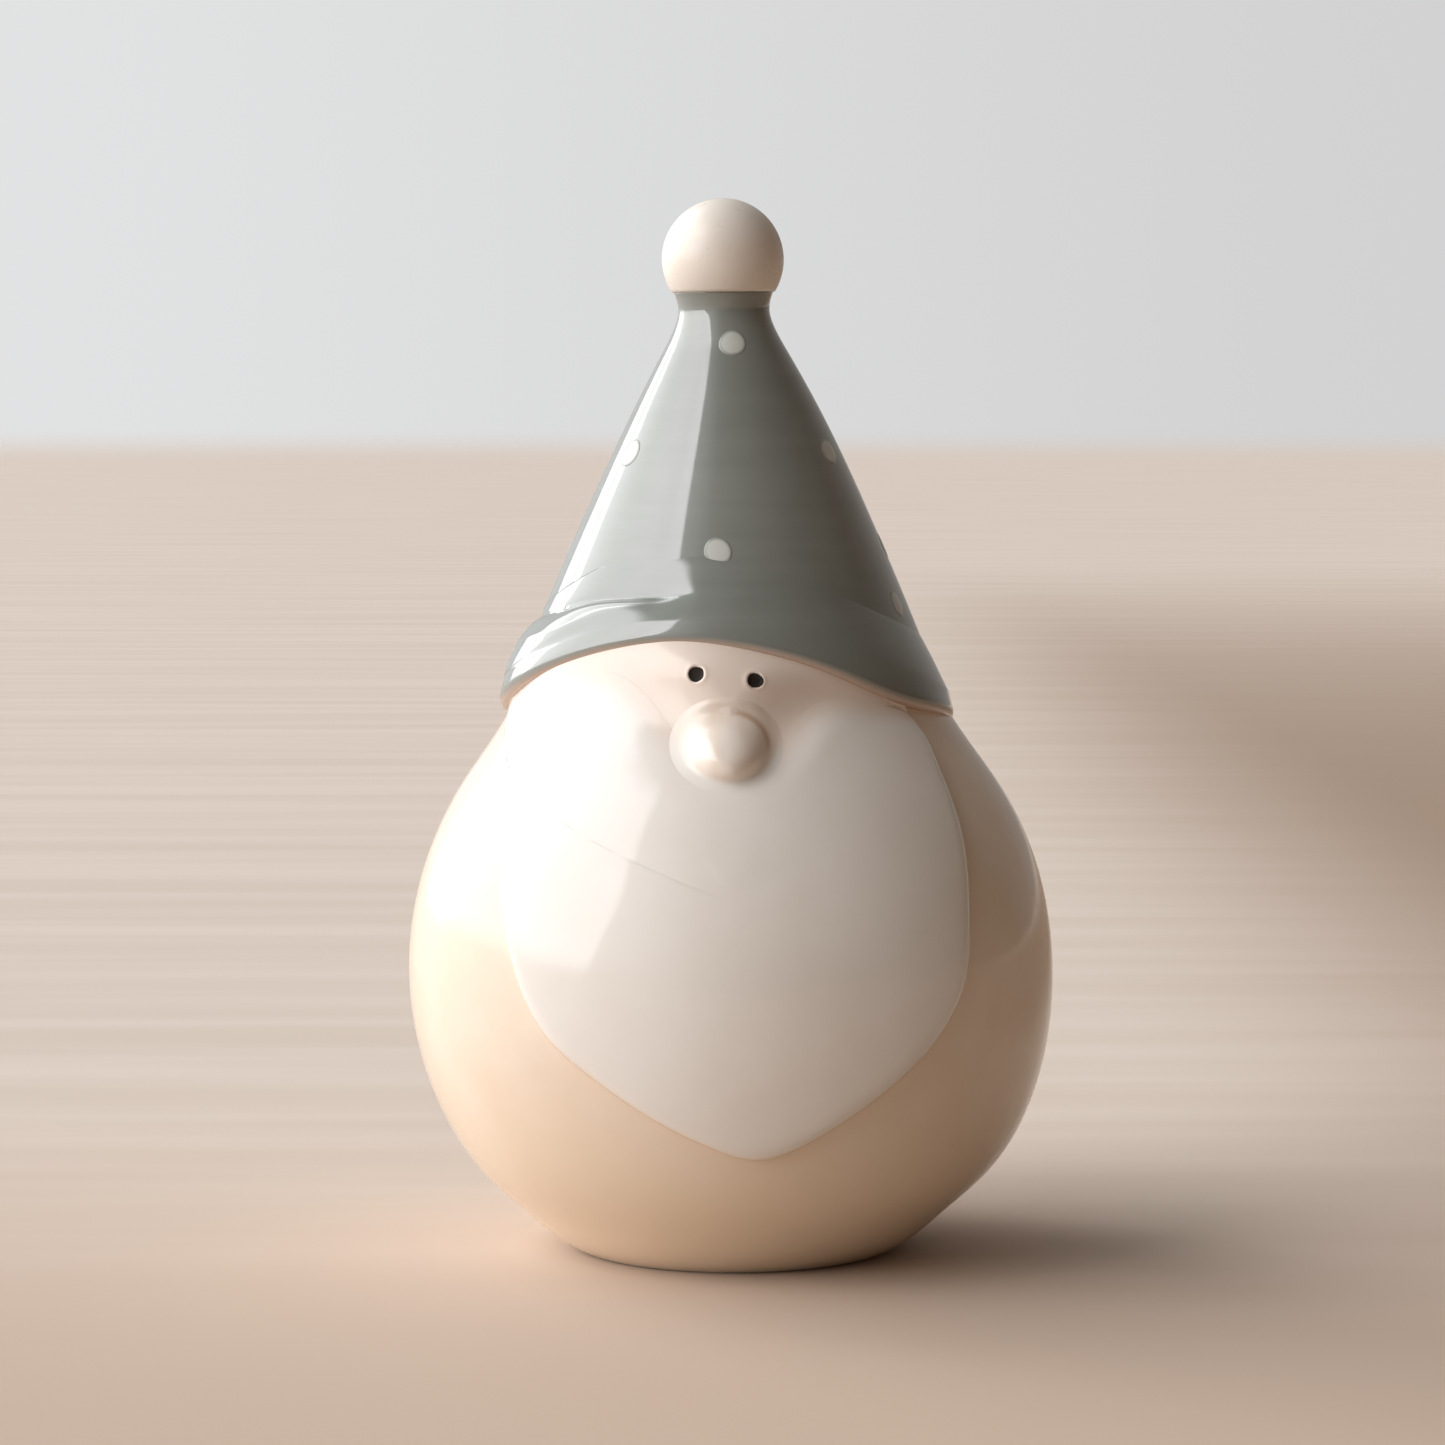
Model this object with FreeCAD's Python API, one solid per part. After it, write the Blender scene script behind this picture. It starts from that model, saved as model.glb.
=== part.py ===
import FreeCAD, Part
import math
import os

Vector = FreeCAD.Vector

# A hollow earthenware gnome, 151 mm tall. Millimetres, +Z up, the face towards -Y,
# +X to the viewer's right. The origin is on the table, at the middle of the vent hole.

# Driving dimensions
FOOT_RADIUS = 22.5            # outer edge of the ring that stands on the table
FOOT_RING_WIDTH = 8.0
BASE_RECESS = 1.5             # the middle of the base stays clear of the table
BASE_WALL = 5.0
VENT_RADIUS = 5.0
WALL = 4.0                    # thickness of the cast clay
BELLY_RADIUS = 46.3
BELLY_HEIGHT = 42.0
SHOULDER_RADIUS = 33.3
SHOULDER_HEIGHT = 74.6
NECK_RADIUS = 6.5             # narrowest place of the hat, just under the ball
NECK_HEIGHT = 134.7
HAT_TOP = 137.3
HAT_TOP_RADIUS = 7.1
HAT_HOLLOW_TOP = 126.0        # the hat is solid clay above this
BALL_RADIUS = 8.7
BALL_HEIGHT = 141.9
BALL_HOLLOW_RADIUS = 5.2
SPIGOT_RADIUS = 3.0
SPIGOT_LENGTH = 6.0
AIR_HOLE_RADIUS = 1.2
COLLAR_HEIGHT = 1.2           # the ball's foot, a little wider than the hat's tip
COLLAR_FLARE = 0.3

BRIM_TURN = -12.0             # degrees; the brim's peak is a little to the viewer's left
BRIM_LEVEL = 83.75            # mean height of the coil's centre line
BRIM_TILT = 5.4               # how far the centre line rises in front and sinks behind
BRIM_ARCH = 3.0               # how far it arches up in front and behind, above the sides
BRIM_HALF_HEIGHT = 4.3
BRIM_HALF_THICKNESS = 3.0
BRIM_SINK = 0.9               # the coil's centre line is this far inside the clay
BRIM_RADIUS = 29.5            # mean radius of the coil
BRIM_STATIONS = 24
JOINT_REACH = 60.0            # the joint is drawn this far before and behind the middle
JOINT_STATIONS = 8

BEARD_RELIEF = 1.9
FACE_RELIEF = 0.8
EYE_RADIUS = 1.05
EYE_DEPTH = 1.8
EYE_RELIEF = 0.5              # the eyes end a little below the face, in pits
EYES = {"eye_left": (-8.1, 83.7), "eye_right": (6.2, 83.0)}    # azimuth, height
NOSE_CENTRE = (-0.4, -34.8, 74.8)
NOSE_HALF_SIZES = (6.4, 6.4, 5.9)
NOSE_PEG_RADIUS = 2.0
NOSE_PEG_LENGTH = 3.0

DOT_RADIUS = 1.9
DOT_DEPTH = 0.6
CLEAR = 80.0                  # well outside the figure, for bodies that cut it
DOTS = [(130.0, 7), (130.0, 127), (130.0, -113),               # height, azimuth
        (114.5, -56), (114.5, 63), (114.5, 180),
        (101.0, -3), (101.0, 87), (101.0, 177), (101.0, -93),
        (93.0, -65), (93.0, 69), (93.0, 157), (93.0, -155)]

# Half outlines, (radius, height), from the foot to the hat's top edge
BODY_OUTLINE = [(FOOT_RADIUS, 0.0), (24.8, 1.2), (30.8, 6.0), (37.0, 11.8), (42.8, 21.5),
                (45.8, 32.5), (BELLY_RADIUS, BELLY_HEIGHT), (43.8, 56.0), (38.7, 66.8),
                (SHOULDER_RADIUS, SHOULDER_HEIGHT), (30.7, 79.2), (29.2, 84.0)]
HAT_OUTLINE = [(27.4, 89.0), (20.1, 106.2), (11.9, 123.3), (8.8, 129.0), (7.0, 132.6),
               (NECK_RADIUS, NECK_HEIGHT), (HAT_TOP_RADIUS, HAT_TOP)]

# Front views of the relief, (X, height)
BEARD_OUTLINE = [(2.6, 19.0), (15.0, 24.6), (25.2, 32.0), (31.6, 41.5), (33.5, 54.0),
                 (31.8, 65.0), (28.4, 73.0), (26.0, 77.3), (20.0, 79.6), (13.6, 80.3),
                 (9.7, 77.6), (5.5, 73.5), (0.0, 71.0), (-5.0, 73.0), (-9.4, 79.0),
                 (-12.6, 83.4), (-16.5, 84.3), (-24.0, 82.3), (-32.6, 78.3), (-34.0, 74.0),
                 (-32.0, 66.6), (-32.0, 55.0), (-30.3, 44.0), (-26.0, 35.3), (-17.5, 28.3),
                 (-6.0, 21.4)]
FACE_OUTLINE = [(0.0, 70.0), (33.0, 74.5), (34.0, 92.0), (0.0, 97.0), (-34.0, 92.0),
                (-33.0, 76.0)]


def spline(points, closed=False):
    curve = Part.BSplineCurve()
    curve.interpolate([Vector(x, 0, z) for x, z in points], PeriodicFlag=closed)
    return curve


FIGURE_CURVE = spline(BODY_OUTLINE + HAT_OUTLINE)


def moved_outline(distance, stations=40):
    """The figure's half outline, moved outwards by distance."""
    first, last = FIGURE_CURVE.FirstParameter, FIGURE_CURVE.LastParameter
    points = []
    for i in range(stations + 1):
        u = first + (last - first) * i / stations
        at = FIGURE_CURVE.value(u)
        along = FIGURE_CURVE.tangent(u)[0]
        points.append((at.x + along.z * distance, at.z - along.x * distance))
    return spline(points)


def figure(distance=0.0):
    """The figure without its ball, as a full solid grown by distance."""
    curve = moved_outline(distance) if distance else FIGURE_CURVE
    low = curve.value(curve.FirstParameter)
    high = curve.value(curve.LastParameter)
    edges = [Part.makeLine(Vector(0, 0, low.z), low), curve.toShape(),
             Part.makeLine(high, Vector(0, 0, high.z)),
             Part.makeLine(Vector(0, 0, high.z), Vector(0, 0, low.z))]
    turned = Part.Face(Part.Wire(edges)).revolve(Vector(0, 0, 0), Vector(0, 0, 1), 360)
    return Part.makeSolid(turned) if turned.ShapeType != "Solid" else turned


def surface_point(height, azimuth):
    """A point on the figure, and the outward direction there. Azimuth 0 is the front."""
    low, high = FIGURE_CURVE.FirstParameter, FIGURE_CURVE.LastParameter
    while high - low > 1e-6:
        middle = (low + high) / 2
        if FIGURE_CURVE.value(middle).z < height:
            low = middle
        else:
            high = middle
    at, along = FIGURE_CURVE.value(low), FIGURE_CURVE.tangent(low)[0]
    side, front = math.sin(math.radians(azimuth)), -math.cos(math.radians(azimuth))
    point = Vector(at.x * side, at.x * front, at.z)
    outward = Vector(along.z * side, along.z * front, -along.x)
    return point, outward


def post(height, azimuth, radius, top, bottom):
    """A round bar through the figure's surface, from top above it to bottom below."""
    point, outward = surface_point(height, azimuth)
    return Part.makeCylinder(radius, top + bottom, point - outward * bottom, outward)


def prism(points, smooth):
    """A bar of the given front view that runs forwards from the figure's middle."""
    if smooth:
        edge = Part.Wire(spline(points, closed=True).toShape())
    else:
        edge = Part.makePolygon([Vector(x, 0, z) for x, z in points + points[:1]])
    return Part.Face(edge).extrude(Vector(0, -CLEAR, 0))


def brim_height(azimuth):
    turn = math.radians(azimuth - BRIM_TURN)
    return BRIM_LEVEL + BRIM_TILT * math.cos(turn) + BRIM_ARCH * math.cos(2 * turn)


def brim_coil():
    """Oval sections leaning with the figure's surface, joined into a closed coil."""
    sections = []
    for i in range(BRIM_STATIONS):
        azimuth = 360 * i / BRIM_STATIONS
        point, outward = surface_point(brim_height(azimuth), azimuth)
        level = Vector(-point.y, point.x, 0).normalize()
        up = outward.cross(level)
        if up.z < 0:
            up = up * -1
        centre = point - outward * BRIM_SINK
        oval = Part.Ellipse(centre + up * BRIM_HALF_HEIGHT,
                            centre + outward * BRIM_HALF_THICKNESS, centre)
        sections.append(Part.Wire(oval.toShape()))
    return Part.makeLoft(sections + sections[:1], True, False, False)


def above_joint():
    """Everything above the joint of hat and body, which arches as the brim does."""
    stations = []
    for i in range(JOINT_STATIONS + 1):
        across = JOINT_REACH * (2 * i / JOINT_STATIONS - 1)
        ratio = -across / BRIM_RADIUS
        height = BRIM_LEVEL + BRIM_TILT * ratio + BRIM_ARCH * (2 * ratio * ratio - 1)
        stations.append(Vector(-CLEAR, across, height))
    low = Part.BSplineCurve()
    low.interpolate(stations)
    start, end = stations[0], stations[-1]
    over = HAT_TOP + CLEAR
    sides = Part.makePolygon([end, Vector(end.x, end.y, over), Vector(start.x, start.y, over),
                              start])
    block = Part.Face(Part.Wire([low.toShape()] + sides.Edges)).extrude(Vector(2 * CLEAR, 0, 0))
    block.rotate(Vector(0, 0, 0), Vector(0, 0, 1), BRIM_TURN)
    return block


def hollow():
    """The space inside, from the base to the solid tip of the hat."""
    space = figure(-WALL)
    height = HAT_HOLLOW_TOP - BASE_WALL
    return space.common(Part.makeCylinder(CLEAR, height, Vector(0, 0, BASE_WALL)))


def base_cut():
    """The shallow recess of the base and the vent hole through it."""
    low_radius = FOOT_RADIUS - FOOT_RING_WIDTH
    recess = Part.makeCone(low_radius, low_radius - 2 * BASE_RECESS, BASE_RECESS)
    return recess.fuse(Part.makeCylinder(VENT_RADIUS, 2 * BASE_WALL))


def ball():
    """The hollow ball on the hat's tip, with its vented spigot."""
    collar = Part.makeCone(HAT_TOP_RADIUS, HAT_TOP_RADIUS + COLLAR_FLARE, COLLAR_HEIGHT,
                           Vector(0, 0, HAT_TOP))
    whole = Part.makeSphere(BALL_RADIUS, Vector(0, 0, BALL_HEIGHT)).fuse(collar)
    below = Part.makeCylinder(CLEAR, CLEAR, Vector(0, 0, HAT_TOP - CLEAR))
    spigot = Part.makeCylinder(SPIGOT_RADIUS, BALL_HEIGHT - HAT_TOP + SPIGOT_LENGTH,
                               Vector(0, 0, HAT_TOP - SPIGOT_LENGTH))
    whole = whole.cut(below).fuse(spigot)
    whole = whole.cut(Part.makeSphere(BALL_HOLLOW_RADIUS, Vector(0, 0, BALL_HEIGHT)))
    air = Part.makeCylinder(AIR_HOLE_RADIUS, CLEAR, Vector(0, 0, BALL_HEIGHT - CLEAR))
    return whole.cut(air).removeSplitter()


def nose_bulb(full):
    """A stretched ball that stands on the full figure, with a peg into the clay."""
    bulb = Part.makeSphere(1)
    stretch = FreeCAD.Matrix()
    stretch.scale(*NOSE_HALF_SIZES)
    bulb = bulb.transformGeometry(stretch)
    bulb.translate(Vector(*NOSE_CENTRE))
    x, y, z = NOSE_CENTRE
    skin = surface_point(z, 0)[0].y
    peg = Part.makeCylinder(NOSE_PEG_RADIUS, skin + NOSE_PEG_LENGTH - y,
                            Vector(x, skin + NOSE_PEG_LENGTH, z), Vector(0, -1, 0))
    return bulb.cut(full).fuse(peg).removeSplitter()


def main():
    full = figure()
    clay = full.cut(hollow()).cut(base_cut())
    upper = above_joint()
    brim = brim_coil().cut(full)
    nose = nose_bulb(full)
    eyes = {name: post(height, azimuth, EYE_RADIUS, EYE_RELIEF, EYE_DEPTH)
            for name, (azimuth, height) in EYES.items()}
    pits = [post(height, azimuth, EYE_RADIUS, 3 * FACE_RELIEF, EYE_DEPTH)
            for azimuth, height in EYES.values()]
    spots = Part.makeCompound([post(height, azimuth, DOT_RADIUS, DOT_RADIUS, DOT_RADIUS)
                               for height, azimuth in DOTS])
    dots = spots.common(full).cut(figure(-DOT_DEPTH))
    bore = Part.makeCylinder(SPIGOT_RADIUS, SPIGOT_LENGTH, Vector(0, 0, HAT_TOP - SPIGOT_LENGTH))
    air = Part.makeCylinder(AIR_HOLE_RADIUS, CLEAR, Vector(0, 0, HAT_TOP - CLEAR))

    beard = figure(BEARD_RELIEF).common(prism(BEARD_OUTLINE, True))
    beard = beard.cut(full).cut(brim).cut(nose)
    face = figure(FACE_RELIEF).common(prism(FACE_OUTLINE, False))
    face = face.cut(full).cut(upper).cut(brim).cut(beard).cut(nose)
    for pit in pits:
        face = face.cut(pit)

    body = clay.cut(upper).cut(nose)
    for eye in eyes.values():
        body = body.cut(eye)
    hat = clay.common(upper).cut(dots).cut(bore).cut(air)

    nodes = {"body_shell": body, "face_panel": face, "beard": beard, "nose": nose,
             "hat_cone": hat, "hat_brim": brim, "pompom": ball(), "hat_dots": dots}
    nodes.update(eyes)
    os.makedirs("parts", exist_ok=True)
    for name, shape in nodes.items():
        solids = shape.Solids
        print(name, len(solids), "solids,", round(shape.Volume), "mm3, valid", shape.isValid())
        shape = solids[0] if len(solids) == 1 else Part.makeCompound(solids)
        shape.exportStep("parts/" + name + ".step")


main()
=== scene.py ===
import math

import bmesh
import bpy
import numpy as np
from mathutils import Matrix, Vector, kdtree


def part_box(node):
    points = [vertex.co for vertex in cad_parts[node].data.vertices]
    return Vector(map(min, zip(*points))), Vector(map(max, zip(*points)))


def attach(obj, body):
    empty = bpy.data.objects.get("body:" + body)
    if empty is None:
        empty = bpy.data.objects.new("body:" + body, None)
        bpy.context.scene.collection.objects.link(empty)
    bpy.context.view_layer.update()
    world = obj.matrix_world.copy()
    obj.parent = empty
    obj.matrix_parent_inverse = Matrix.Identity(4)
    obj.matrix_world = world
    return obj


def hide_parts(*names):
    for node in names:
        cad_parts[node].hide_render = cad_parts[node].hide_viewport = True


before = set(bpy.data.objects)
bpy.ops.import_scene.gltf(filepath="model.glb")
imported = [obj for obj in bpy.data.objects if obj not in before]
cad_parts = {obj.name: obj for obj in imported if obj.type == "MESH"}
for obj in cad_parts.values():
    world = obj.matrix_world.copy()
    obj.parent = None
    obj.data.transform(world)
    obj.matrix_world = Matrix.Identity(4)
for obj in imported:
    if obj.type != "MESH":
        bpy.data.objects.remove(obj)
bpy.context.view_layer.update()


# ------------------------------------------------------------------ the body
# A hollow pear cast in a two-part mould from cream earthenware, 4 mm thick, with a ground
# foot ring and a vent hole for the kiln in its dished base. Peach gloss glaze outside, with
# painted shade that darkens and warms it towards the bottom, and bare clay on the foot.
# Lengths are millimetres until a piece is placed; a turn is radians from the face, which is -Y.
BODY_SIDE = [(22.5, 0.0), (24.8, 1.2), (30.8, 6.0), (37.0, 11.8), (42.8, 21.5), (45.8, 32.5),
             (46.3, 42.0), (43.8, 56.0), (38.7, 66.8), (33.3, 74.6), (30.7, 79.2), (29.2, 84.0)]
HAT_SIDE = [(27.4, 89.0), (20.1, 106.2), (11.9, 123.3), (8.8, 129.0), (7.0, 132.6),
            (6.5, 134.7), (7.1, 137.3)]
RIM_HEIGHT = BODY_SIDE[-1][1]
WALL = 4.0
BASE_WALL = 5.0
BASE_SIDE = [(5.0, 5.0), (5.0, 1.5), (11.5, 1.5), (14.5, 0.0)]     # vent hole and recess
JOINT_TURN = math.radians(-12)    # where hat and body meet highest, left of the face
SWAY = 0.14                       # unevenness of hand-finished ware
SWAY_RATE = 0.09                  # radians of its slow waves to a millimetre
SWAY_FROM = 12                    # it fades out below this height, so that the foot stays flat
BODY_DRAWN_FROM = 70.0            # above this the body is drawn up or down to the arched joint
LEAN = 0.0114                     # the fired piece leans to the left by this much of its height


def fair_line(points, count, closed=False):
    """Points along the line that a springy batten takes through the given ones."""
    given = np.array(points, float)
    if closed:
        given = np.vstack([given[-3:], given, given[:4]])
    step = np.linalg.norm(np.diff(given, axis=0), axis=1)
    at = np.concatenate([[0.0], np.cumsum(step)])
    size = len(given)
    system = np.eye(size)
    pull = np.zeros_like(given)
    for i in range(1, size - 1):
        system[i, i - 1:i + 2] = step[i - 1], 2 * (step[i - 1] + step[i]), step[i]
        after = (given[i + 1] - given[i]) / step[i]
        before = (given[i] - given[i - 1]) / step[i - 1]
        pull[i] = 6 * (after - before)
    bend = np.linalg.solve(system, pull)
    first, last = (at[3], at[-4]) if closed else (at[0], at[-1])
    where = np.linspace(first, last, count, endpoint=not closed)
    i = np.clip(np.searchsorted(at, where, side="right") - 1, 0, size - 2)
    near = ((at[i + 1] - where) / step[i])[:, None]
    far = 1 - near
    curve = (near ** 3 - near) * bend[i] + (far ** 3 - far) * bend[i + 1]
    return near * given[i] + far * given[i + 1] + curve * (step[i] ** 2)[:, None] / 6


SKIN = fair_line(BODY_SIDE + HAT_SIDE, 1500)


def skin_radius(height):
    return np.interp(height, SKIN[:, 1], SKIN[:, 0])


def off_skin(height, lift):
    """The radius and height of a point that stands lift off the bare skin, square to it."""
    slope = skin_radius(height + 0.5) - skin_radius(height - 0.5)
    length = np.hypot(1, slope)
    return skin_radius(height) + lift / length, height - lift * slope / length


def on_skin(turn, height, lift=0.0):
    """Points round the bare body and hat, as rows of three; lift stands them off it."""
    turn, height, lift = np.broadcast_arrays(turn, height, lift)
    radius, height = off_skin(height, lift)
    return np.stack([radius * np.sin(turn), -radius * np.cos(turn), height], axis=-1)


def ease(low, high, value):
    """0 up to low, 1 from high on, and a soft rise between; low may be the greater."""
    t = np.clip((value - low) / (high - low), 0.0, 1.0)
    return t * t * (3 - 2 * t)


def joint_height(turn):
    """The joint of hat and body, hidden by the brim, arches over the face."""
    return 83.75 + 5.4 * np.cos(turn - JOINT_TURN) + 3.0 * np.cos(2 * (turn - JOINT_TURN))


def thrown(side, closed, steps):
    """A side view of (radius, height) points, spun round the upright axis as on a wheel."""
    clay = bmesh.new()
    dots = [clay.verts.new((radius, 0, height)) for radius, height in side]
    wires = [clay.edges.new(pair) for pair in zip(dots, dots[1:])]
    if closed:
        wires.append(clay.edges.new((dots[-1], dots[0])))
    bmesh.ops.spin(clay, geom=dots + wires, cent=(0, 0, 0), axis=(0, 0, 1), dvec=(0, 0, 0),
                   angle=math.tau, steps=steps, use_merge=True, use_duplicate=False)
    bmesh.ops.remove_doubles(clay, verts=clay.verts, dist=1e-4)
    return clay


def spots_of(clay):
    return np.array([vert.co for vert in clay.verts])


def move(clay, spots):
    for vert, spot in zip(clay.verts, spots):
        vert.co = spot


def mark(clay, name, shares):
    """Gives each point a share from 0 to 1, which the piece's glaze reads."""
    layer = clay.verts.layers.float.new(name)
    for vert, share in zip(clay.verts, shares):
        vert[layer] = share


def draw_to_joint(clay, start):
    """Draws a piece's edge at the rim height up or down to the arched joint, from start on."""
    x, y, z = spots_of(clay).T
    turn = np.arctan2(x, -y)
    depth = skin_radius(z) - np.hypot(x, y)
    share = np.maximum((z - start) / (RIM_HEIGHT - start), 0)
    height = np.where(share > 0, start + share * (joint_height(turn) - start), z)
    radius = skin_radius(height) - depth
    move(clay, np.stack([radius * np.sin(turn), -radius * np.cos(turn), height], axis=-1))


def sway_at(spot):
    """How far slow waves push a point of the surface, as a potter's hands would."""
    x, y, z = spot * SWAY_RATE
    waves = Vector((math.sin(y + 1.3 * z + 0.4), math.sin(z - 0.8 * x + 2.1), math.sin(x + 1.2 * y)))
    return waves * SWAY * min(spot.z / SWAY_FROM, 1)


def placed(name, clay, finish):
    """Makes the object, in metres, a little uneven and leaning as the fired piece is. A thin
    curved piece can come out of the recalculation inside out, and is then turned round."""
    bmesh.ops.recalc_face_normals(clay, faces=clay.faces)
    if clay.calc_volume(signed=True) < 0:
        bmesh.ops.reverse_faces(clay, faces=clay.faces)
    for vert in clay.verts:
        lean = Vector((-LEAN * vert.co.z, 0, 0))
        vert.co = (vert.co + sway_at(vert.co) + lean) * 0.001
    mesh = bpy.data.meshes.new(name)
    clay.to_mesh(mesh)
    clay.free()
    mesh.shade_smooth()
    mesh.materials.append(finish)
    piece = bpy.data.objects.new(name, mesh)
    bpy.context.scene.collection.objects.link(piece)
    return piece


def wired(tree, kind, settings=(), **sockets):
    """A shader node with its settings, and a value or another node's output in each socket."""
    node = tree.nodes.new(kind)
    for key, value in dict(settings).items():
        setattr(node, key, value)
    for key, value in sockets.items():
        key = int(key[1:]) if key[0] == "_" else key.replace("_", " ")
        if isinstance(value, bpy.types.NodeSocket):
            tree.links.new(value, node.inputs[key])
        else:
            node.inputs[key].default_value = value
    return node


def blend_colours(tree, share, low, high):
    """A mix of two colours; each may be a colour or a node's output."""
    mix = wired(tree, "ShaderNodeMix", {"data_type": "RGBA"}, _0=share, _6=low, _7=high)
    return mix.outputs[2]


def clamped(tree, value, low, high, to_low=0.0, to_high=1.0):
    """A value's stretch from low to high, eased onto to_low to to_high."""
    node = wired(tree, "ShaderNodeMapRange", {"interpolation_type": "SMOOTHSTEP"}, Value=value,
                 From_Min=low, From_Max=high, To_Min=to_low, To_Max=to_high)
    return node.outputs["Result"]


def glaze(name, thin, thick, roughness, streak=(60, 60, 60), wave=0.10, pitted=0.03, index=1.5):
    """Glaze over clay: paler where it lies thin and deeper where it pools, faintly rippled,
    with fine drag marks of the brush."""
    finish = bpy.data.materials.new(name)
    finish.use_nodes = True
    tree = finish.node_tree
    shader = tree.nodes["Principled BSDF"]
    place = tree.nodes.new("ShaderNodeTexCoord").outputs["Object"]
    pools = wired(tree, "ShaderNodeTexNoise", Vector=place, Scale=38.0, Detail=3.0)
    stretched = wired(tree, "ShaderNodeMapping", Vector=place, Scale=streak)
    drags = wired(tree, "ShaderNodeTexNoise", Vector=stretched.outputs[0], Scale=1.0,
                  Detail=4.0, Roughness=0.6)
    share = wired(tree, "ShaderNodeMath", {"operation": "MULTIPLY_ADD"},
                  _0=drags.outputs["Fac"], _1=0.45, _2=pools.outputs["Fac"])
    depth = clamped(tree, share.outputs[0], 0.52, 0.95)
    colour = blend_colours(tree, depth, (*thin, 1), (*thick, 1))
    tree.links.new(colour, shader.inputs["Base Color"])
    fine = wired(tree, "ShaderNodeTexNoise", Vector=place, Scale=900.0, Detail=2.0)
    rough = clamped(tree, fine.outputs["Fac"], 0.3, 0.75, roughness * 0.8, roughness * 1.3)
    tree.links.new(rough, shader.inputs["Roughness"])
    ripple = wired(tree, "ShaderNodeTexNoise", Vector=place, Scale=95.0, Detail=1.0)
    swell = wired(tree, "ShaderNodeBump", Height=ripple.outputs["Fac"], Strength=wave,
                  Distance=0.0004)
    pits = wired(tree, "ShaderNodeBump", Height=fine.outputs["Fac"], Strength=pitted,
                 Distance=0.00006, Normal=swell.outputs[0])
    tree.links.new(pits.outputs[0], shader.inputs["Normal"])
    shader.inputs["IOR"].default_value = index
    return finish


def lay_over(finish, share, tint):
    """Lays a second colour over a glaze's own, as thick as share says."""
    tree = finish.node_tree
    socket = tree.nodes["Principled BSDF"].inputs["Base Color"]
    under = socket.links[0].from_socket
    tree.links.new(blend_colours(tree, share, under, (*tint, 1)), socket)


def marked(finish, name):
    """The share that the piece's points carry under this name."""
    return wired(finish.node_tree, "ShaderNodeAttribute", {"attribute_name": name}).outputs["Fac"]


PEACH = (0.84, 0.72, 0.60)
PEACH_DEEP = (0.79, 0.64, 0.50)
PEACH_LOW_SHADE = (0.80, 0.65, 0.49)
BARE_CLAY = (0.74, 0.66, 0.55)

outer = [tuple(spot) for spot in fair_line(BODY_SIDE, 110)]
inner = []
for radius, height in outer:
    spot = off_skin(height, -WALL)
    if height > BASE_WALL + 3 and spot[1] > BASE_WALL:
        inner.append(spot)
clay = thrown(outer + inner[::-2] + BASE_SIDE, True, 256)
draw_to_joint(clay, BODY_DRAWN_FROM)
peach_glaze = glaze("peach glaze", PEACH, PEACH_DEEP, 0.10)
tree = peach_glaze.node_tree
place = tree.nodes.new("ShaderNodeTexCoord").outputs["Object"]
up = wired(tree, "ShaderNodeSeparateXYZ", Vector=place).outputs["Z"]
# painted shade: the glaze is painted darker and warmer from 36 mm down to 4 mm above the floor
lay_over(peach_glaze, clamped(tree, up, 0.036, 0.004), PEACH_LOW_SHADE)
lay_over(peach_glaze, clamped(tree, up, 0.0006, 0.0001), BARE_CLAY)
body = placed("body", clay, peach_glaze)
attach(body, "root")
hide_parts("body_shell")


# ----------------------------------------------------------------- the beard
# A thick pat of clay rolled out, cut to a shield with a notch for the nose and pressed on the
# body. Its sides and tip keep a rounded edge; its top edge is smoothed away into the face.
# White gloss glaze, and the body's peach laps over the lower edge.
BEARD_EDGE = [(4.5, 19.0), (13, 21.0), (22, 25.3), (31.5, 31.0), (39, 37.3), (43.5, 43.5),
              (46, 51.0), (49, 58.5), (51.2, 65.0), (53, 71.0), (54, 75.0), (51, 77.5),
              (42, 79.2), (30, 80.6), (21, 79.6), (13, 75.6), (6, 72.0), (0, 71.0), (-6, 72.2),
              (-13, 75.8), (-20, 80.2), (-27, 83.0), (-38, 83.8), (-55, 82.2), (-70, 80.2),
              (-80, 78.6), (-76, 76.0), (-65, 73.0), (-57.5, 69.5), (-51, 64.0), (-46, 56.5),
              (-42.5, 49.0), (-39, 42.3), (-34, 36.0), (-25.5, 30.5), (-14.5, 24.8), (-4, 20.7)]
BEARD_RELIEF = 1.7
BEARD_MIDDLE = (0.0, 54.0)
BEARD_TUCK = 0.8                  # the pat's back lies this deep in the body's skin
EDGE_ROUND = 2.8                  # width of the rounded edge
SEAM_LIFT = (1.45, 0.95)          # height of the soft valley beside the face, left and right
SEAM_WIDTH = 5.5
WHITE = (0.84, 0.80, 0.75)
WHITE_DEEP = (0.80, 0.75, 0.69)
FLESH = (0.82, 0.71, 0.63)

edge_line = fair_line(BEARD_EDGE, 720, closed=True)
edge_turns = np.radians(edge_line[:, 0])
edge_spots = on_skin(edge_turns, edge_line[:, 1])
edge_run = np.roll(edge_spots, -1, axis=0) - np.roll(edge_spots, 1, axis=0)
edge_inward = np.cross(on_skin(edge_turns, edge_line[:, 1], 1) - edge_spots, edge_run)
edge_inward /= np.linalg.norm(edge_inward, axis=1)[:, None]
edge_tree = kdtree.KDTree(len(edge_line))
for i, spot in enumerate(edge_spots):
    edge_tree.insert(spot, i)
edge_tree.balance()


def beard_depth(turn, height):
    """How far inside the beard's edge points of the body are; below 0 outside it."""
    spots = on_skin(turn, height)
    nearest = [edge_tree.find(spot)[1] for spot in spots]
    return ((spots - edge_spots[nearest]) * edge_inward[nearest]).sum(axis=1)


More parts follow.
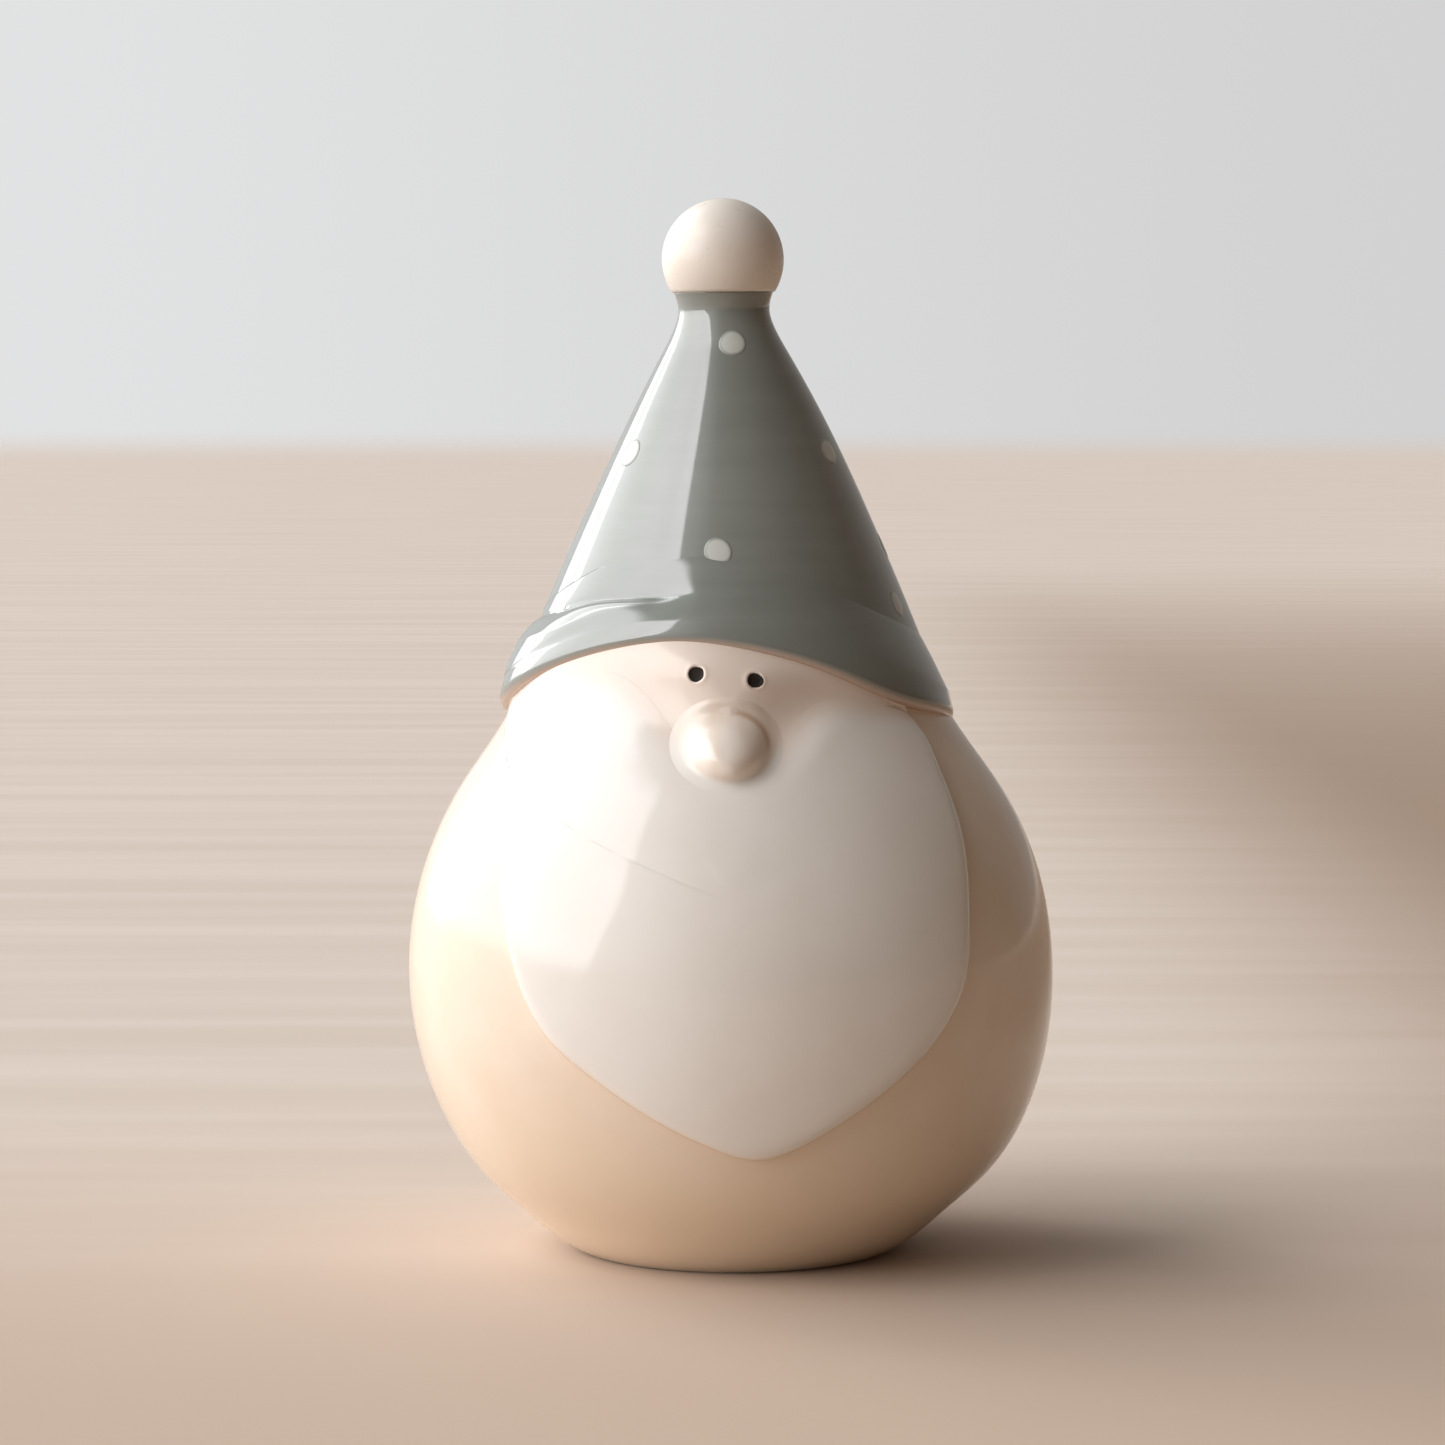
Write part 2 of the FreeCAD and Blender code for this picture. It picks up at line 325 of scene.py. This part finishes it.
def soft_share(turn, height):
    """1 along the smoothed top edge, 0 along the sides and the tip."""
    degrees = np.degrees(turn)
    top = np.maximum(ease(73, 78, height), ease(28, 18, np.abs(degrees)))
    return ease(60, 66, height) * top * ease(76, 62, degrees) * ease(-92, -82, degrees)


def seam_lift(turn):
    degrees = np.degrees(turn)
    lift = SEAM_LIFT[0] + (SEAM_LIFT[1] - SEAM_LIFT[0]) * ease(-14, 14, degrees)
    return lift * (1 - 0.5 * ease(-50, -78, degrees))


def beard_lift(turn, height, depth):
    soft = soft_share(turn, height)
    seam = seam_lift(turn)
    rounded = np.clip(depth / EDGE_ROUND, 0, 1)
    rounded = np.sqrt(1 - (1 - rounded) ** 2) * (BEARD_RELIEF + 0.5) - 0.5
    smooth = seam + ease(0, SEAM_WIDTH, depth) * (BEARD_RELIEF - seam)
    return rounded + soft * (smooth - rounded)


rings = [0, .12, .24, .36, .47, .57, .66, .73, .79, .84, .88, .91, .93, .945, .957, .967, .975,
         .982, .988, .993, .997, 1]
spoke = [(share, 1.0) for share in rings] + [(share, 0.0) for share in rings[::-1]]
clay = thrown(spoke, False, 480)
x, y, z = spots_of(clay).T
share = np.hypot(x, y)
where = np.arctan2(y, x) / math.tau % 1 * len(edge_line)
before = where.astype(int) % len(edge_line)
after = (before + 1) % len(edge_line)
edge = edge_line[before] + (where % 1)[:, None] * (edge_line[after] - edge_line[before])
degrees, height = (np.array(BEARD_MIDDLE) + share[:, None] * (edge - BEARD_MIDDLE)).T
turn = np.radians(degrees)
depth = beard_depth(turn, height)
soft = soft_share(turn, height)
mark(clay, "rim", (1 - ease(0.5, 1.3, depth)) * (1 - soft) * (1 - ease(52, 66, height)))
mark(clay, "blush", soft * (1 - ease(0.3, 4.0, depth)))
move(clay, on_skin(turn, height, np.where(z > 0.5, beard_lift(turn, height, depth), -BEARD_TUCK)))
white_glaze = glaze("white glaze", WHITE, WHITE_DEEP, 0.09)
lay_over(white_glaze, marked(white_glaze, "blush"), FLESH)
lay_over(white_glaze, marked(white_glaze, "rim"), PEACH_DEEP)
beard = placed("beard_pat", clay, white_glaze)
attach(beard, "root")
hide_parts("beard")


# ------------------------------------------------------------------ the face
# The skin-coloured part of the front between beard and brim, a full cheek swelling between
# the beard's two lobes, with a pit for each eye pressed in with a rounded tool.
FACE_LOW = [(-88, 79.5), (-80, 78.9), (-70, 76.5), (-55, 79), (-38, 80), (-24, 78.5), (-12, 72), (0, 67.5),
            (10, 70), (20, 75), (30, 77), (45, 75.5), (62, 73.5)]      # degrees, height
FACE_SWELL = 1.9
FACE_THICK = 2.0
FACE_TUCK = 0.05                  # just inside the beard's soft edge it lies this much lower
FACE_SINK = 0.9                   # and further in it sinks this much, hidden by the beard
BRIM_EDGE = 4.1                   # the brim reaches this far below the joint
PIT_RADIUS = 0.84
PIT_DEPTH = 1.1
LIP = 0.09


def face_lift(turn, height, depth):
    degrees = np.degrees(turn)
    middle = ease(44, 18, np.abs(degrees))
    under_brim = joint_height(turn) - BRIM_EDGE - height
    swell = 0.3 + (FACE_SWELL - 0.3) * middle
    lift = seam_lift(turn) + swell * ease(0, 8.5, -depth) * ease(-1.5, 5, under_brim)
    end = np.maximum(ease(49, 56, degrees), ease(-79, -87, degrees))
    end = np.maximum(end, ease(1, 3, under_brim) * ease(43, 49, degrees))
    return lift * (1 - end) - 0.6 * end


def front_lift(turn, height):
    """The relief of beard and face together."""
    depth = beard_depth(turn, height)
    return np.where(depth > 0, beard_lift(turn, height, depth), face_lift(turn, height, depth))


def centre_of(node):
    """The turn and height of a node's middle."""
    low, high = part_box(node)
    x, y, z = (np.array(low) + np.array(high)) * 500
    return np.array([math.atan2(x, -y)]), np.array([z])


clay = bmesh.new()
bmesh.ops.create_grid(clay, x_segments=400, y_segments=80, size=1)
x, y, z = spots_of(clay).T
low_degrees, low_heights = np.array(FACE_LOW, float).T
degrees = low_degrees[0] + (low_degrees[-1] - low_degrees[0]) * (x + 1) / 2
turn = np.radians(degrees)
hem = np.interp(degrees, low_degrees, low_heights)
height = hem + (joint_height(turn) - hem) * (y + 1) / 2
depth = beard_depth(turn, height)
lift = face_lift(turn, height, depth) - FACE_TUCK * ease(0, 0.4, depth)
lift -= FACE_SINK * ease(0.4, 2.5, depth)
for node in ("eye_left", "eye_right"):
    away = np.linalg.norm(on_skin(turn, height) - on_skin(*centre_of(node)), axis=1)
    lift -= PIT_DEPTH * ease(PIT_RADIUS + 0.22, PIT_RADIUS - 0.2, away)
    past = away - PIT_RADIUS
    lift += LIP * ease(0, 0.3, past) * ease(0.9, 0.3, past)
mark(clay, "hem", ease(43, 52, degrees))
move(clay, on_skin(turn, height, lift))
back = bmesh.ops.extrude_face_region(clay, geom=clay.faces[:], use_keep_orig=True)
for item in back["geom"]:
    if isinstance(item, bmesh.types.BMVert):
        item.co -= Vector((item.co.x, item.co.y, 0)).normalized() * FACE_THICK
flesh_glaze = glaze("flesh glaze", (0.84, 0.74, 0.66), (0.80, 0.68, 0.59), 0.14, index=1.42)
lay_over(flesh_glaze, marked(flesh_glaze, "hem"), PEACH)
face = placed("face", clay, flesh_glaze)
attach(face, "root")
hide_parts("face_panel")


# ------------------------------------------------------------------ the nose
# A ball of clay pinched onto the beard's notch and luted with slip, its foot wiped smooth.
# Flesh glaze in fine upright streaks, paler and deeper, that are painted reflection; it is
# wiped to the beard's white at its foot, and a brown line in the crease at its upper right is
# painted shade.
NOSE_SIDE = [(0, 4.4), (1.25, 4.3), (2.6, 3.85), (3.7, 3.1), (4.6, 2.1), (5.3, 1.15),
             (6.0, 0.5), (6.9, 0.14), (8.4, -0.1)]
NOSE_BACK = [(7.5, -1.4), (0.0, -1.4)]
NOSE_SQUASH = 0.82                # height of the bulb over its width
NOSE_SLUMP = 0.9                  # the ball sat down by this much as it was pressed on
NOSE_FLAT = 0.22                  # it is pressed this much flatter at its lower left
SEAT_BELOW = 3                    # how far below its middle the height of its seat is taken
nose_turn, nose_height = centre_of("nose")
nose_height = nose_height - NOSE_SLUMP
seat = front_lift(nose_turn, nose_height - SEAT_BELOW)
clay = thrown([tuple(spot) for spot in fair_line(NOSE_SIDE, 40)] + NOSE_BACK, False, 160)
x, y, z = spots_of(clay).T
reach = np.hypot(x, y)
height = nose_height + y * NOSE_SQUASH
turn = nose_turn + x / skin_radius(height)
base = seat + (front_lift(turn, height) - seat) * ease(4.0, 7.0, reach)
left_foot = ease(0.3, 1.3, (-x - 0.7 * y) / np.maximum(reach, 1)) * ease(1.5, 4.5, reach)
z = np.where(z > 0, z * (1 - NOSE_FLAT * left_foot * ease(6.9, 5.0, reach)), z)
right_shoulder = ease(0.7, 1.3, (x + 0.9 * y) / np.maximum(reach, 1))
# painted shade: a brown line along the crease on the nose's right shoulder, away from the light
mark(clay, "crease_shade", 0.7 * ease(5.0, 5.5, reach) * ease(6.1, 5.6, reach) * right_shoulder)
mark(clay, "wiped", ease(4.6, 6.4, reach) * ease(-0.5, 2.0, beard_depth(turn, height)))
foot = on_skin(turn, height, base + np.minimum(z, 0))
move(clay, foot + np.maximum(z, 0)[:, None] * (0, -1, -0.1))
# the stretched upright streaks in this glaze's colour are painted reflection
nose_glaze = glaze("nose glaze", (0.86, 0.78, 0.70), (0.76, 0.62, 0.51), 0.2, (420, 60, 30))
lay_over(nose_glaze, marked(nose_glaze, "crease_shade"), (0.52, 0.33, 0.20))
lay_over(nose_glaze, marked(nose_glaze, "wiped"), WHITE)
nose = placed("nose_ball", clay, nose_glaze)
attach(nose, "root")
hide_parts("nose")


# ------------------------------------------------------------------ the eyes
# A drop of matt black glaze let into each pit from a fine brush. It settles dished, and its
# outline is never quite round.
EYE_SIDE = [(0, -0.26), (0.46, -0.23), (0.74, -0.16), (0.94, -0.08), (1.03, -0.22)]
EYE_BACK = [(0.92, -0.9), (0, -0.9)]
black_glaze = glaze("black glaze", (0.022, 0.015, 0.011), (0.014, 0.009, 0.007), 0.6, index=1.35)
for count, node in enumerate(("eye_left", "eye_right")):
    eye_turn, eye_height = centre_of(node)
    clay = thrown([tuple(spot) for spot in fair_line(EYE_SIDE, 16)] + EYE_BACK, False, 64)
    x, y, z = spots_of(clay).T
    around = np.arctan2(y, x)
    uneven = 1 + 0.05 * np.sin(3 * around + 0.6 + count) + 0.05 * np.cos(2 * around + count)
    turn = eye_turn + x * uneven / skin_radius(eye_height)
    move(clay, on_skin(turn, eye_height + y * uneven, front_lift(eye_turn, eye_height) + z))
    eye = placed(node.replace("eye", "eye_glaze"), clay, black_glaze)
    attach(eye, "root")
    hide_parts(node)


# ------------------------------------------------------------------- the hat
# A tall hollow cone cast apart from the body, solid at the neck, where the ball's spigot is
# luted in. Slate grey gloss glaze, brushed on in rounds.
HAT_SOLID_FROM = 126.0
HAT_DRAWN_FROM = 100.0            # below this the hat is drawn up or down to the joint
SPIGOT_SEAT = [(7.0, 137.35), (3.0, 137.3), (3.0, 131.3), (1.2, 131.3), (1.2, 126.0)]
GREY = (0.245, 0.262, 0.240)
GREY_DEEP = (0.205, 0.222, 0.202)
ROUNDS = (45, 45, 420)            # stretch of the brush marks

line = fair_line(BODY_SIDE + HAT_SIDE, 400)
outer = [tuple(spot) for spot in line if spot[1] > RIM_HEIGHT][::2] + [tuple(line[-1])]
inner = []
for radius, height in outer:
    spot = off_skin(height, -WALL)
    if spot[1] < HAT_SOLID_FROM and spot[0] > 1.5:
        inner.append(spot)
clay = thrown(outer + SPIGOT_SEAT + inner[::-2] + [inner[0]], True, 256)
draw_to_joint(clay, HAT_DRAWN_FROM)
hat = placed("hat", clay, glaze("grey glaze", GREY, GREY_DEEP, 0.07, ROUNDS, index=1.85))
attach(hat, "root")
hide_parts("hat_cone")


# ------------------------------------------------------------------ the brim
# A flattened coil of clay rolled round the joint of hat and body. At the left it is pressed
# in with a tool, which leaves a crease against the cone; elsewhere it is smoothed up into the
# cone. Below, it stands as a soft lip, where the glaze breaks to a line of bare pink clay,
# painted darker brown than the clay as painted shade under the lip.
BRIM_SIDE = [(9.5, -0.35), (8.0, 0.03), (6.2, 0.40), (4.4, 0.80), (2.6, 1.22), (0.6, 1.68),
             (-1.4, 2.05), (-2.8, 2.2), (-3.75, 2.1), (-4.3, 1.65), (-4.5, 0.9), (-4.35, 0.1)]
BRIM_CREASED = [(9.5, -0.35), (7.5, -0.02), (5.5, 0.12), (4.0, 0.12), (3.1, 0.02), (2.6, -0.02),
                (2.2, 0.3), (1.3, 1.0), (0.1, 1.55), (-1.4, 2.05)]     # height, off the skin
BRIM_BACK = [(-4.0, -0.8), (-1.0, -1.6), (8.0, -1.5)]
CREASE_RISE = (2.8, 3.4)          # the crease climbs this much to the left, then at the end
LEFT_ROLL = 0.6                   # extra thickness of the coil at its left end
SPUN_AT = 100


def bulge(value, middle, width):
    """1 at the middle, falling away softly over width on both sides."""
    return np.exp(-((value - middle) / width) ** 2)


side = [(SPUN_AT + off, along) for along, off in fair_line(BRIM_SIDE, 72)]
side += [(SPUN_AT + off, along) for along, off in BRIM_BACK]
clay = thrown(side, True, 384)
x, y, z = spots_of(clay).T
turn = np.arctan2(x, -y)
degrees = np.degrees(turn)
off = np.hypot(x, y) - SPUN_AT
mark(clay, "lip", ease(-3.5, -4.3, z) * ease(2.4, 1.4, off))
creased_line = fair_line(BRIM_CREASED, 200)[::-1]
rise = CREASE_RISE[0] * ease(-18, -62, degrees) + CREASE_RISE[1] * ease(-55, -95, degrees)
creased_off = np.interp(z - rise * ease(-1.4, 1.5, z), creased_line[:, 0], creased_line[:, 1])
pressed = ease(-8, -24, degrees) * ease(-140, -100, degrees)
pressed = pressed * ((z > BRIM_CREASED[-1][0]) & (off > BRIM_SIDE[0][1] - 0.01))
off = off + pressed * (creased_off - off)
low_share = 0.95 + 0.27 * bulge(degrees, 48, 17) - 0.14 * bulge(degrees, 92, 20)
z = np.where(z < 0, z * low_share, z)
off = off * (1 - 0.10 * bulge(degrees, -92, 30) - 0.34 * bulge(degrees, 92, 26))
off = off - 0.38 * bulge(degrees, 94, 22) * np.maximum(-0.3 - z, 0)
off = off + LEFT_ROLL * bulge(degrees, -92, 26) * bulge(z, 0, 3.2)
move(clay, on_skin(turn, joint_height(turn) + z, off))
brim_glaze = glaze("brim glaze", GREY, GREY_DEEP, 0.07, ROUNDS, index=1.85)
# the lip's band of bare pink clay is painted darker brown: painted shade under the brim
lay_over(brim_glaze, marked(brim_glaze, "lip"), (0.52, 0.39, 0.315))
brim = placed("brim", clay, brim_glaze)
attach(brim, "root")
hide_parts("hat_brim")


# ------------------------------------------------------------------ the dots
# Pale slip dabbed on the hat in staggered rows with a blunt tip and glazed over, so each is a
# low disc whose rim runs a little into the grey.
DOTS = [(130.0, 7), (130.0, 127), (130.0, -113), (114.5, -56), (114.5, 63), (114.5, 180),
        (101.0, -3), (101.0, 87), (101.0, 177), (101.0, -93),
        (93.0, -65), (93.0, 69), (93.0, 157), (93.0, -155)]      # height, degrees
DOT_SIDE = [(0, 0.10), (0.9, 0.095), (1.5, 0.075), (1.85, 0.04), (2.1, -0.02), (1.9, -0.5),
            (0, -0.5)]
all_dots = bmesh.new()
all_dots.verts.layers.float.new("soak")
for count, (dot_height, degrees) in enumerate(DOTS):
    clay = thrown(DOT_SIDE, False, 40)
    x, y, z = spots_of(clay).T
    around = np.arctan2(y, x)
    uneven = 0.97 + 0.04 * np.sin(2 * around + 1.7 * count) + 0.03 * math.sin(count * 2.3)
    turn = math.radians(degrees) + x * uneven / skin_radius(dot_height)
    mark(clay, "soak", ease(1.45, 2.0, np.hypot(x, y)))
    move(clay, on_skin(turn, dot_height + y * uneven * 0.92, z))
    dab = bpy.data.meshes.new("dab")
    clay.to_mesh(dab)
    clay.free()
    all_dots.from_mesh(dab)
    bpy.data.meshes.remove(dab)
dot_glaze = glaze("dot glaze", (0.60, 0.62, 0.58), (0.52, 0.54, 0.50), 0.08)
lay_over(dot_glaze, marked(dot_glaze, "soak"), GREY)
dots = placed("dots", all_dots, dot_glaze)
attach(dots, "root")
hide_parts("hat_dots")


# ------------------------------------------------------------------ the ball
# A hollow ball of clay with a vented spigot, luted into the hat's tip. Cream glaze, fired a
# little drier than the rest, so that it is satin.
BALL_STUB = [(6.95, 137.25), (3.0, 137.2), (3.0, 131.4), (1.2, 131.4)]
BALL_HOLLOW = 5.2
ball_low, ball_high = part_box("pompom")
ball_radius = (ball_high[0] - ball_low[0]) * 500
ball_middle = ball_high[2] * 1000 - ball_radius


def arc(radius, first, last, steps):
    """An arc about the ball's middle, from one angle above level to another."""
    angles = np.radians(np.linspace(first, last, steps))
    return [(radius * max(math.cos(a), 0), ball_middle + radius * math.sin(a)) for a in angles]


foot_angle = math.degrees(math.asin((BALL_STUB[0][1] - ball_middle) / ball_radius))
side = arc(ball_radius, 90, foot_angle, 41) + BALL_STUB + arc(BALL_HOLLOW, -76, 90, 17)
ball_glaze = glaze("cream glaze", (0.82, 0.76, 0.69), (0.77, 0.70, 0.62), 0.34, pitted=0.28)
ball = placed("ball", thrown(side, False, 160), ball_glaze)
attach(ball, "root")
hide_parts("pompom")


# ----------------------------------------------------------- floor and light
# A pale floor that runs to the horizon, with painted shade that darkens and warms it towards
# the front and to the right, one tall window of light at the left, a dim warm room at the right
# and a pale grey wall behind.
WINDOW_LIGHT = (3.8, 3.8, 3.85)
FLOOR_SIZE = 160                  # metres, so that it runs to the horizon

bpy.ops.mesh.primitive_plane_add(size=FLOOR_SIZE, location=(0, 0, 0))
floor = bpy.context.object
floor.name = "floor"
finish = bpy.data.materials.new("pale floor")
finish.use_nodes = True
tree = finish.node_tree
place = tree.nodes.new("ShaderNodeTexCoord").outputs["Object"]
long_grain = wired(tree, "ShaderNodeMapping", Vector=place, Scale=(3, 40, 1))
cloud = wired(tree, "ShaderNodeTexNoise", Vector=long_grain.outputs[0], Scale=1.0, Detail=5.0)
colour = blend_colours(tree, clamped(tree, cloud.outputs["Fac"], 0.3, 0.7), (0.66, 0.56, 0.475, 1),
                       (0.72, 0.62, 0.54, 1))
parts = wired(tree, "ShaderNodeSeparateXYZ", Vector=place)
# painted shade on the floor: darker and warmer towards the front, and darker to the right of the figure
front_painted_shade = clamped(tree, parts.outputs["Y"], 0.15, -0.12)
colour = blend_colours(tree, front_painted_shade, colour, (0.56, 0.43, 0.335, 1))
right_painted_shade = wired(tree, "ShaderNodeMath", {"operation": "MULTIPLY"},
                 _0=clamped(tree, parts.outputs["X"], 0.06, 0.22),
                 _1=clamped(tree, parts.outputs["Y"], 3.2, 0.5))
colour = blend_colours(tree, right_painted_shade.outputs[0], colour, (0.34, 0.24, 0.17, 1))
tree.links.new(colour, tree.nodes["Principled BSDF"].inputs["Base Color"])
tree.nodes["Principled BSDF"].inputs["Roughness"].default_value = 0.7
far_back = wired(tree, "ShaderNodeMath", {"operation": "MAXIMUM"}, _0=parts.outputs["Y"], _1=0.1)
nearness = wired(tree, "ShaderNodeMath", {"operation": "DIVIDE"}, _0=1.0, _1=far_back.outputs[0])
far_off = clamped(tree, nearness.outputs[0], 0.085, 0.015)
clear = tree.nodes.new("ShaderNodeBsdfTransparent")
faded = wired(tree, "ShaderNodeMixShader", _0=far_off, _1=tree.nodes["Principled BSDF"].outputs[0],
              _2=clear.outputs[0])
tree.links.new(faded.outputs[0], tree.nodes["Material Output"].inputs["Surface"])
floor.data.materials.append(finish)

world = bpy.data.worlds.new("studio")
bpy.context.scene.world = world
world.use_nodes = True
tree = world.node_tree
tree.nodes.clear()
way = tree.nodes.new("ShaderNodeTexCoord").outputs["Generated"]
heading = wired(tree, "ShaderNodeSeparateXYZ", Vector=way)


def sum_of(tree, kind, first, second):
    return wired(tree, "ShaderNodeMath", {"operation": kind}, _0=first, _1=second).outputs[0]


def pane(tree, low, high, softness):
    """1 between two turns from the camera's side, softly edged."""
    rise = clamped(tree, sum_of(tree, "SUBTRACT", turned, low), 0, softness)
    fall = clamped(tree, sum_of(tree, "SUBTRACT", high, turned), 0, softness)
    return sum_of(tree, "MULTIPLY", rise, fall)


ahead = sum_of(tree, "MULTIPLY", heading.outputs["Y"], -1.0)
turned = sum_of(tree, "ARCTAN2", heading.outputs["X"], ahead)
up = heading.outputs["Z"]
right_side = clamped(tree, up, -0.05, 0.45, math.radians(-50), math.radians(-39))
wide = pane(tree, math.radians(-150), right_side, math.radians(2))
wide = sum_of(tree, "MULTIPLY", wide, clamped(tree, turned, math.radians(-105),
                                              math.radians(-62), 0.76, 1))
narrow = pane(tree, math.radians(-132), math.radians(-125), math.radians(2))
curtain = sum_of(tree, "MULTIPLY",
                 clamped(tree, turned, math.radians(-8), math.radians(-42), 0, 0.16),
                 clamped(tree, turned, math.radians(-60), math.radians(-42)))
tall = sum_of(tree, "MULTIPLY", clamped(tree, up, -0.02, 0.10), clamped(tree, up, 0.88, 0.80))
panes = sum_of(tree, "ADD", wide, sum_of(tree, "ADD", narrow, curtain))
window = sum_of(tree, "MULTIPLY", panes, tall)
left = clamped(tree, heading.outputs["X"], 0.25, -0.9)
right = blend_colours(tree, clamped(tree, up, 0.1, 0.6), (0.062, 0.040, 0.025, 1),
                      (0.12, 0.094, 0.072, 1))
room = blend_colours(tree, left, right, (0.36, 0.36, 0.36, 1))
behind = clamped(tree, heading.outputs["Y"], 0.2, 0.95)
wall_light = blend_colours(tree, clamped(tree, heading.outputs["X"], 0.15, -0.5), (0.36, 0.34, 0.32, 1),
                           (0.85, 0.86, 0.88, 1))
room = blend_colours(tree, behind, room, wall_light)
bright = wired(tree, "ShaderNodeVectorMath", {"operation": "SCALE"}, _0=WINDOW_LIGHT, Scale=window)
lit = wired(tree, "ShaderNodeVectorMath", {"operation": "ADD"}, _0=room, _1=bright.outputs[0]).outputs[0]
wall = blend_colours(tree, clamped(tree, heading.outputs["X"], -0.2, 0.2), (0.76, 0.765, 0.77, 1),
                     (0.64, 0.64, 0.645, 1))
seen = tree.nodes.new("ShaderNodeLightPath").outputs["Is Camera Ray"]
glow = wired(tree, "ShaderNodeBackground", Color=blend_colours(tree, seen, lit, wall), Strength=1.0)
sky = tree.nodes.new("ShaderNodeOutputWorld")
tree.links.new(glow.outputs[0], sky.inputs["Surface"])

scene = bpy.context.scene
scene.view_settings.view_transform = "Standard"
lens = bpy.data.cameras.new("camera")
lens.lens = 109.6
lens.sensor_width = 36
camera = bpy.data.objects.new("camera", lens)
camera.location = (-0.0018, -0.631, 0.119)
camera.rotation_euler = (math.radians(90 - 3.93), 0, 0)
scene.collection.objects.link(camera)
scene.camera = camera
